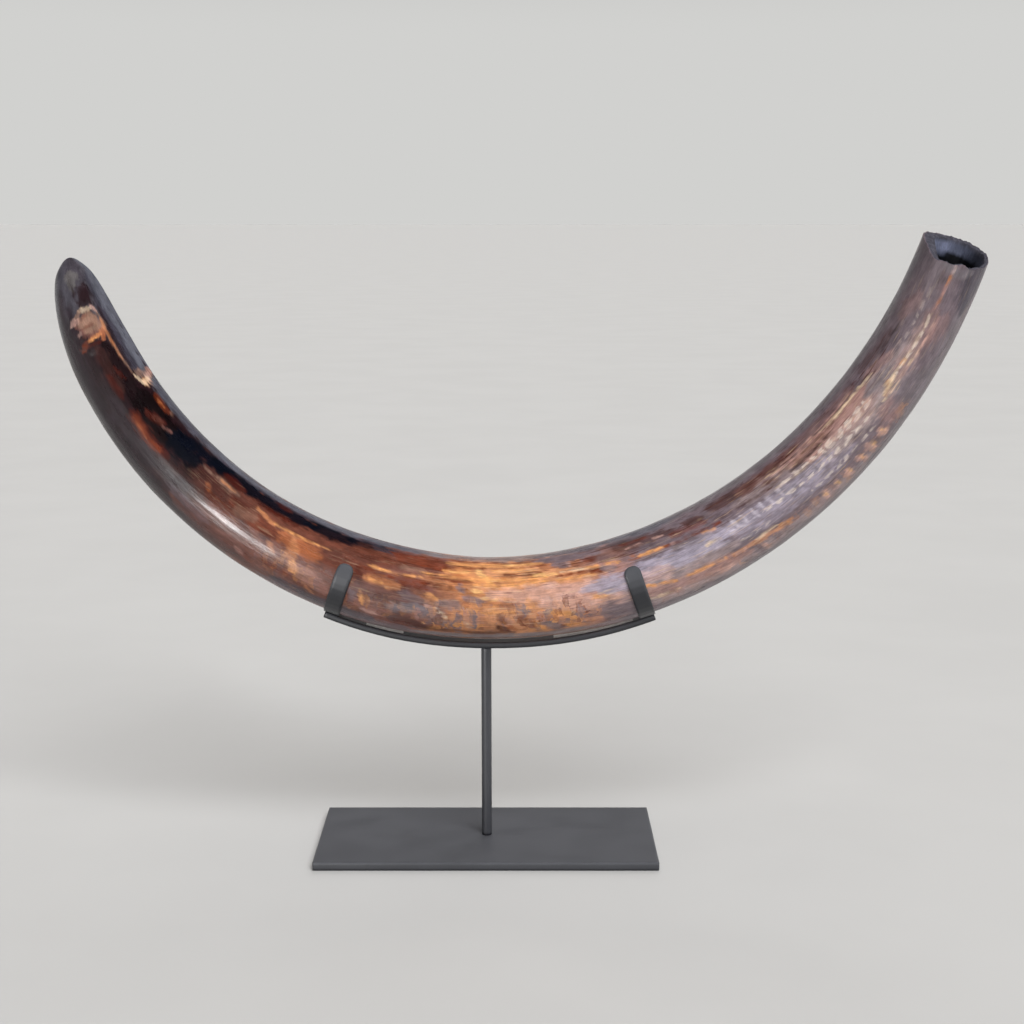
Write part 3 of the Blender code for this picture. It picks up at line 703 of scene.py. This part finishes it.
def pattern(tree, vector, cell, low, high, to_low=0.0, to_high=1.0, detail=3.0, warp=0.0):
    """Noise with cells of this length and width in mm, its range from low to high made new."""
    inputs = {"Vector": vector, "Scale": cell_scale(*cell)}
    inputs = {"Vector": add(tree, "ShaderNodeMapping", inputs), "Scale": 1.0}
    inputs |= {"Detail": detail, "Roughness": 0.6, "Distortion": warp}
    inputs = {"Value": add(tree, "ShaderNodeTexNoise", inputs), "From Min": low, "From Max": high}
    inputs |= {"To Min": to_low, "To Max": to_high}
    return add(tree, "ShaderNodeMapRange", inputs, interpolation_type="SMOOTHSTEP")


def ivory_material(settings):
    """Mammoth ivory, mineral-stained in the ground, then sanded along its length and waxed.

    The eye gets a hard shallow gloss over brown, honey and grey-blue stains, with some painted
    sheen, highlights and shade among them, broken by lengthwise grain, by fine cream streaks where
    the bark is worn through, and by blocky checks.
    """
    material, tree, shader = new_material("waxed mammoth ivory")
    named = {
        name: add(tree, "ShaderNodeAttribute", {}, attribute_name=name).node.outputs
        for name in ("grain", "stain_and_painted_light", "figure", "raw")
    }
    grain = named["grain"]["Vector"]
    zones = add(tree, "ShaderNodeSeparateColor", {"Color": named["figure"]["Color"]})
    streaks, lines, blocks = zones.node.outputs

    # cloudy depth of the stain colour, which holds the painted light and shade too, in patches of
    # about 16 x 8 mm
    depth = pattern(tree, grain, (16, 8), 0.25, 0.75, 0.74, 1.24, detail=4)
    inputs = {SHARE: 1.0, UNDER: named["stain_and_painted_light"]["Color"], OVER: depth}
    colour = add(tree, "ShaderNodeMix", inputs, **TIMES)

    # checks: patches of about 8 x 15 mm, each of its own tone, broken up again at half that size
    waver = pattern(tree, grain, (9, 7), 0.0, 1.0)
    place = add(tree, "ShaderNodeMapping", {"Vector": grain, "Scale": cell_scale(8, 15)})
    for size, most in ((1.0, 0.85), (0.45, 0.25)):
        near = add(tree, "ShaderNodeVectorMath", {0: place, 1: waver})
        inputs = {"Vector": near, "Scale": 1 / size, "Randomness": 0.9}
        cells = add(tree, "ShaderNodeTexVoronoi", inputs, distance="CHEBYCHEV").node
        lot = add(tree, "ShaderNodeSeparateColor", {"Color": cells.outputs["Color"]}).node
        tones = add(tree, "ShaderNodeValToRGB", {"Fac": lot.outputs[0]})
        ramp = tones.node.color_ramp
        ramp.interpolation = "CONSTANT"
        for k, stain_and_painted_light in enumerate(CHECK_STAINS):
            mark = ramp.elements.new(k / len(CHECK_STAINS)) if k > 1 else ramp.elements[k]
            mark.position = k / len(CHECK_STAINS)
            mark.color = linear(STAINS[stain_and_painted_light])
        inputs = {"Value": lot.outputs[1], "From Min": 0.3, "From Max": 0.8}
        strength = add(tree, "ShaderNodeMapRange", inputs)
        edge = pattern(tree, grain, (5, 9), 0.3, 0.6, 0.3, 1.0)
        colour = layered(tree, colour, tones, strength, blocks, edge, most)

    # the grain's dark lines, about 1.7 mm apart and 50 mm long
    line = pattern(tree, grain, (50, 1.7), 0.54, 0.66, warp=0.4)
    colour = layered(tree, colour, linear(LINE_TONE), line, lines, 0.72)

    # cream streaks, about 2 mm wide and 34 mm long
    streak = pattern(tree, grain, (34, 2.1), 0.56, 0.7, warp=0.5)
    colour = layered(tree, colour, linear(STREAK_TONE), streak, streaks, 0.72)

    # rows of frayed dashes along the grain, shifted a little from row to row
    along = add(tree, "ShaderNodeSeparateXYZ", {0: grain})
    slip = pattern(tree, grain, (30, 9), 0.2, 0.8, -3.0, 3.0)
    inputs = {0: along, 1: math.tau / DASH_SPACING, 2: slip}
    turn = add(tree, "ShaderNodeMath", inputs, operation="MULTIPLY_ADD")
    wave = add(tree, "ShaderNodeMath", {0: turn}, operation="SINE")
    gaps = add(tree, "ShaderNodeMapRange", {"Value": wave, "From Min": -0.8, "From Max": 0.3})
    frayed = pattern(tree, grain, (9, 1.2), 0.25, 0.7, 0.35, 1.0)
    inputs = {"Value": named["figure"]["Alpha"], "From Min": 0.55, "From Max": 1.0}
    dash = add(tree, "ShaderNodeMapRange", inputs)
    colour = layered(tree, colour, linear(DASH_TONE), dash, gaps, frayed, 0.75)

    # fine grain, drawn 0.9 mm wide so that it shows
    fine = pattern(tree, grain, (14, 0.9), 0.3, 0.7)
    shade = add(tree, "ShaderNodeMapRange", {"Value": fine, "To Min": 0.84, "To Max": 1.14})
    colour = add(tree, "ShaderNodeMix", {SHARE: 1.0, UNDER: colour, OVER: shade}, **TIMES)

    worn = pattern(tree, grain, (40, 10), 0.3, 0.7, 0.24, 0.4, detail=4)
    rough = add(tree, "ShaderNodeMix", {SHARE: named["raw"]["Fac"], 2: worn, 3: 0.78})
    height = add(tree, "ShaderNodeMath", {0: line, 1: -0.8, 2: fine}, operation="MULTIPLY_ADD")
    inputs = {"Height": height, "Strength": 0.25, "Distance": settings.skin_bump}
    bump = add(tree, "ShaderNodeBump", inputs)
    fill(tree, shader, {"Base Color": colour, "Roughness": rough, "Normal": bump, "IOR": 1.54})
    fill(tree, shader, {"Specular IOR Level": 0.3, "Coat Weight": 0.12, "Coat Roughness": 0.14})
    return material


def paint_material(settings):
    """Steel in satin powder coat, baked on.

    The eye gets a dark grey with a faint orange peel of about 1.5 mm and a soft sheen, which a
    little rubbing changes over 50 mm or so. The faces that look up are painted paler, a painted
    highlight for light from above, and the coat rounds the edges, drawn 5 mm wide so that it shows.
    """
    material, tree, shader = new_material("satin powder coated steel")
    place = add(tree, "ShaderNodeNewGeometry", {})
    rub = pattern(tree, place, (60, 35), 0.25, 0.75, detail=4)
    speck = pattern(tree, place, (1.5, 1.5), 0.0, 1.0)
    rounded = add(tree, "ShaderNodeBevel", {"Radius": COAT_ROUNDING}, samples=8)
    up = add(tree, "ShaderNodeSeparateXYZ", {0: rounded}).node.outputs["Z"]
    # faces that look up are painted paler, a painted highlight for light from above; the rest keeps
    # the dark coat
    inputs = {"Value": up, "From Min": -0.3, "From Max": 0.3}
    painted_highlight = add(tree, "ShaderNodeMapRange", inputs, interpolation_type="SMOOTHSTEP")
    painted_highlight_tone = tuple(settings.painted_highlight_colour)
    painted_highlight_tone = layered(tree, painted_highlight_tone, times(painted_highlight_tone, PAINTED_HIGHLIGHT_RUBBED), rub)
    colour = layered(tree, tuple(settings.paint_colour), painted_highlight_tone, painted_highlight)
    colour = layered(tree, colour, linear(SPECK_TONE), speck, 0.1)
    rough = add(tree, "ShaderNodeMapRange", {"Value": rub, "To Min": 0.34, "To Max": 0.44})
    inputs = {"Height": speck, "Strength": 0.25, "Distance": COAT_PEEL, "Normal": rounded}
    bump = add(tree, "ShaderNodeBump", inputs)
    fill(tree, shader, {"Base Color": colour, "Roughness": rough, "Normal": bump, "IOR": 1.5})
    return material


def felt_material(settings):
    """Pale grey pressed wool felt.

    The eye gets a soft matt strip with short tangled fibres, drawn about 0.8 mm thick so that they
    show, and a slight fuzzy sheen.
    """
    material, tree, shader = new_material("pale grey wool felt")
    place = add(tree, "ShaderNodeNewGeometry", {})
    fibre = pattern(tree, place, (3.2, 0.8), 0.3, 0.7, detail=4, warp=1.2)
    base = tuple(settings.felt_colour)
    colour = layered(tree, times(base, 0.72), base, fibre)
    tuft = pattern(tree, place, (9, 6), 0.3, 0.7, 0.88, 1.08)
    colour = add(tree, "ShaderNodeMix", {SHARE: 1.0, UNDER: colour, OVER: tuft}, **TIMES)
    bump = add(tree, "ShaderNodeBump", {"Height": fibre, "Strength": 0.5, "Distance": FIBRE_DEPTH})
    fill(tree, shader, {"Base Color": colour, "Normal": bump})
    fill(tree, shader, {"Roughness": 0.92, "Sheen Weight": 0.25})
    return material


def floor_material(settings):
    """Matt white-grey floor paint, rolled on: all but even, with a very slight mottle."""
    material, tree, shader = new_material("matt floor paint")
    place = add(tree, "ShaderNodeNewGeometry", {})
    base = tuple(settings.floor_colour)
    cloud = pattern(tree, place, (400, 300), 0.3, 0.7)
    colour = layered(tree, times(base, 0.97), base, cloud)
    fill(tree, shader, {"Base Color": colour, "Roughness": 0.75, "Specular IOR Level": 0.0})
    return material


# ---------------- settings


class TuskSettings(bpy.types.PropertyGroup):
    """Sizes and colours of the tusk on its stand."""

    sides: IntProperty(
        name="Sides", description="Points round each of the tusk's rings", default=168, min=24
    )
    ring_spacing: FloatProperty(
        name="Ring spacing", description="Distance between the rings along the tusk's middle",
        default=3.0 * MM, unit="LENGTH",
    )
    tip_ring_spacing: FloatProperty(
        name="Ring spacing at the tip",
        description="Distance between the rings where the scar and the flat are",
        default=1.8 * MM, unit="LENGTH",
    )
    grain_relief: FloatProperty(
        name="Grain relief", description="Height of the lengthwise ridges in the skin",
        default=0.12 * MM, unit="LENGTH",
    )
    dent_relief: FloatProperty(
        name="Dent relief", description="Depth of the shallow dents in the skin",
        default=0.18 * MM, unit="LENGTH",
    )
    skin_bump: FloatProperty(
        name="Skin bump", description="Depth of the finest grain",
        default=0.3 * MM, unit="LENGTH",
    )


class StandSettings(bpy.types.PropertyGroup):
    """Colours of the stand, its pads and the studio floor."""

    paint_colour: FloatVectorProperty(
        name="Paint", description="Colour of the stand's powder coat",
        default=linear("#1E1F24"), subtype="COLOR", size=4,
    )
    # the paler tone painted on faces that look up: a painted highlight for light from above
    painted_highlight_colour: FloatVectorProperty(
        name="Dusty paint",
        description="Colour of the powder coat where it looks up and dust lies on it",
        default=linear("#4B4C50"), subtype="COLOR", size=4,
    )
    felt_colour: FloatVectorProperty(
        name="Felt", description="Colour of the pads in the cradle",
        default=linear("#C4C0BA"), subtype="COLOR", size=4,
    )
    floor_colour: FloatVectorProperty(
        name="Floor", description="Colour of the studio floor",
        default=linear("#BFBFBE"), subtype="COLOR", size=4,
    )


# ---------------- operators


def new_object(name, data):
    """A new object of this mesh, lamp or camera in the scene."""
    piece = bpy.data.objects.new(name, data)
    bpy.context.scene.collection.objects.link(piece)
    return piece


def skin_mesh(name, points, sides):
    """A closed skin through rings of points, with a face fan across each end."""
    rings = len(points) // sides
    columns = np.arange(sides)
    low = (np.arange(rings - 1)[:, None] * sides + columns).ravel()
    after = (np.arange(rings - 1)[:, None] * sides + (columns + 1) % sides).ravel()
    quads = np.stack([low, low + sides, after + sides, after], axis=1)
    tip = [(i, (i + 1) % sides, len(points)) for i in range(sides)]
    last = (rings - 1) * sides
    end = [(last + (i + 1) % sides, last + i, len(points) + 1) for i in range(sides)]
    ends = np.array([points[:sides].mean(axis=0), points[last:].mean(axis=0)])
    mesh = bpy.data.meshes.new(name)
    mesh.from_pydata([*points.tolist(), *ends.tolist()], [], [*quads.tolist(), *tip, *end])
    mesh.shade_smooth()
    mesh.validate()
    return mesh


def store(mesh, name, kind, values):
    """Keeps a value, vector or colour for every point of the mesh, the ends' middles included."""
    flat = values.reshape(-1, values.shape[-1]) if values.ndim == 3 else values.reshape(-1, 1)
    flat = np.vstack([flat, flat[0], flat[-1]]).astype(np.float32)
    field = {"FLOAT": "value", "FLOAT_VECTOR": "vector", "FLOAT_COLOR": "color"}[kind]
    mesh.attributes.new(name, kind, "POINT").data.foreach_set(field, flat.ravel())


class TUSK_OT_tusk(bpy.types.Operator):
    """Build the tusk's skin with its wear, scar, broken root and stains"""

    bl_idname = "tusk.tusk"
    bl_label = "Tusk"

    def execute(self, context):
        settings = context.scene.tusk_settings
        place, angle, radius, inside = tusk_grid(settings)
        points = tusk_points(place, angle, radius).reshape(-1, 3)
        mesh = skin_mesh("tusk_skin", points, settings.sides)
        colour, figure, raw = paint(place, angle, radius, inside)
        grain = np.stack([place, radius * np.cos(angle), radius * np.sin(angle)], axis=-1) * MM
        store(mesh, "grain", "FLOAT_VECTOR", grain)
        alpha = np.ones((*colour.shape[:2], 1))
        store(mesh, "stain_and_painted_light", "FLOAT_COLOR", np.concatenate([colour, alpha], axis=-1))
        store(mesh, "figure", "FLOAT_COLOR", figure)
        store(mesh, "raw", "FLOAT", raw)
        mesh.materials.append(ivory_material(settings))
        skin = new_object("tusk_skin", mesh)
        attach(skin, ROOT)
        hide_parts("tusk")
        return {"FINISHED"}


def give_material(material, *names):
    """Gives these solids of the model their material."""
    for name in names:
        NODES[name].material_slots[0].material = material


class TUSK_OT_stand(bpy.types.Operator):
    """Give the plate, post, rail and straps their powder coat"""

    bl_idname = "tusk.stand"
    bl_label = "Stand"

    def execute(self, context):
        coat = paint_material(context.scene.stand_settings)
        give_material(coat, "base_plate", "post", "cradle_rail", "strap_left", "strap_right")
        return {"FINISHED"}


class TUSK_OT_pads(bpy.types.Operator):
    """Give the liner pads under the tusk their felt"""

    bl_idname = "tusk.pads"
    bl_label = "Pads"

    def execute(self, context):
        felt = felt_material(context.scene.stand_settings)
        give_material(felt, "pad_left", "pad_right")
        return {"FINISHED"}


SUNS = (  # name, strength, spread and turns in degrees, colour
    ("soft_key", 3.2, 40, (42, 0, 28), "#FFFFFF"),
    ("soft_front", 0.4, 50, (78, 0, -8), "#E8ECFF"),
    ("soft_top", 0.7, 60, (-12, 0, 0), "#FFF4E8"),
    ("soft_back", 1.1, 60, (-55, 0, -14), "#FFFFFF"),
)
SOFTBOX_PLACE = (-0.8, -1.25, 0.12)
SOFTBOX_AIM = (-0.29, -0.04, 0.4)
SOFTBOX_SIZE = (0.22, 0.16)
SOFTBOX_POWER = 12  # watts
HORIZON_TONE = "#D1D1CF"
OVERHEAD_TONE = "#26272B"
FLOOR_REACH = 400  # metres to each side, so that its edge isn't seen
FLOOR_DROP = 0.3 * MM
CAMERA_PLACE = (0.03016, -1.6135, 0.7329)
CAMERA_DIP = 11.464  # degrees below level
CAMERA_LENS = 50.3  # mm
SENSOR_WIDTH = 36  # mm


def add_sun(name, strength, spread, turns, hex_colour):
    """Even light from far away, soft by its spread and without a gleam of its own."""
    light = bpy.data.lights.new(name, "SUN")
    light.energy = strength
    light.color = linear(hex_colour)[:3]
    light.angle = math.radians(spread)
    lamp = new_object(name, light)
    lamp.rotation_euler = [math.radians(degrees) for degrees in turns]
    lamp.visible_glossy = False


def add_softbox():
    """A low box on the left that gives only the long gleam on the tusk's left arm."""
    light = bpy.data.lights.new("low_left_box", "AREA")
    light.shape = "RECTANGLE"
    light.size, light.size_y = SOFTBOX_SIZE
    light.energy = SOFTBOX_POWER
    lamp = new_object("low_left_box", light)
    lamp.location = SOFTBOX_PLACE
    aim = Vector(SOFTBOX_AIM) - Vector(SOFTBOX_PLACE)
    lamp.rotation_euler = aim.to_track_quat("-Z", "Y").to_euler()
    lamp.visible_camera = False
    lamp.visible_diffuse = False


def studio_world():
    """Soft light from all round: pale near the horizon, dimmer overhead."""
    world = bpy.data.worlds.new("studio")
    world.use_nodes = True
    tree = world.node_tree
    ray = add(tree, "ShaderNodeTexCoord", {})
    height = add(tree, "ShaderNodeSeparateXYZ", {0: ray}).node.outputs["Z"]
    inputs = {"Value": height, "From Min": 0.12, "From Max": 0.34}
    share = add(tree, "ShaderNodeMapRange", inputs, interpolation_type="SMOOTHSTEP")
    colour = layered(tree, linear(HORIZON_TONE), linear(OVERHEAD_TONE), share)
    fill(tree, tree.nodes["Background"], {"Color": colour})
    bpy.context.scene.world = world


class TUSK_OT_studio(bpy.types.Operator):
    """Lay the pale floor, hang the soft lights and set up the camera"""

    bl_idname = "tusk.studio"
    bl_label = "Studio"

    def execute(self, context):
        model = bmesh.new()
        bmesh.ops.create_grid(model, x_segments=8, y_segments=8, size=FLOOR_REACH)
        mesh = bpy.data.meshes.new("studio_floor")
        model.to_mesh(mesh)
        model.free()
        mesh.materials.append(floor_material(context.scene.stand_settings))
        floor = new_object("studio_floor", mesh)
        floor.location.z = -FLOOR_DROP
        floor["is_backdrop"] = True
        studio_world()
        for sun in SUNS:
            add_sun(*sun)
        add_softbox()
        camera = bpy.data.cameras.new("camera")
        camera.lens = CAMERA_LENS
        camera.sensor_width = SENSOR_WIDTH
        view = new_object("camera", camera)
        view.location = CAMERA_PLACE
        view.rotation_euler = (math.radians(90 - CAMERA_DIP), 0, 0)
        context.scene.camera = view
        context.scene.view_settings.view_transform = "Standard"
        return {"FINISHED"}


class TUSK_PT_panel(bpy.types.Panel):
    """The steps that build the tusk on its stand"""

    bl_idname = "TUSK_PT_panel"
    bl_label = "Tusk on stand"
    bl_space_type = "VIEW_3D"
    bl_region_type = "UI"
    bl_category = "Tusk"

    def draw(self, context):
        for owner in (context.scene.tusk_settings, context.scene.stand_settings):
            for name in type(owner).__annotations__:
                self.layout.prop(owner, name)
        for step in STEPS:
            self.layout.operator(step.bl_idname)


STEPS = (TUSK_OT_tusk, TUSK_OT_stand, TUSK_OT_pads, TUSK_OT_studio)
CLASSES = (TuskSettings, StandSettings, *STEPS, TUSK_PT_panel)


def register():
    for item in CLASSES:
        bpy.utils.register_class(item)
    bpy.types.Scene.tusk_settings = PointerProperty(type=TuskSettings)
    bpy.types.Scene.stand_settings = PointerProperty(type=StandSettings)


def unregister():
    del bpy.types.Scene.stand_settings
    del bpy.types.Scene.tusk_settings
    for item in reversed(CLASSES):
        bpy.utils.unregister_class(item)


def main():
    register()
    bpy.ops.tusk.tusk()
    bpy.ops.tusk.stand()
    bpy.ops.tusk.pads()
    bpy.ops.tusk.studio()
    sizes = {"cad": CAD_BOX, "visual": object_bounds()}
    sizes = {name: [list(corner) for corner in box] for name, box in sizes.items()}


if __name__ == "__main__":
    main()
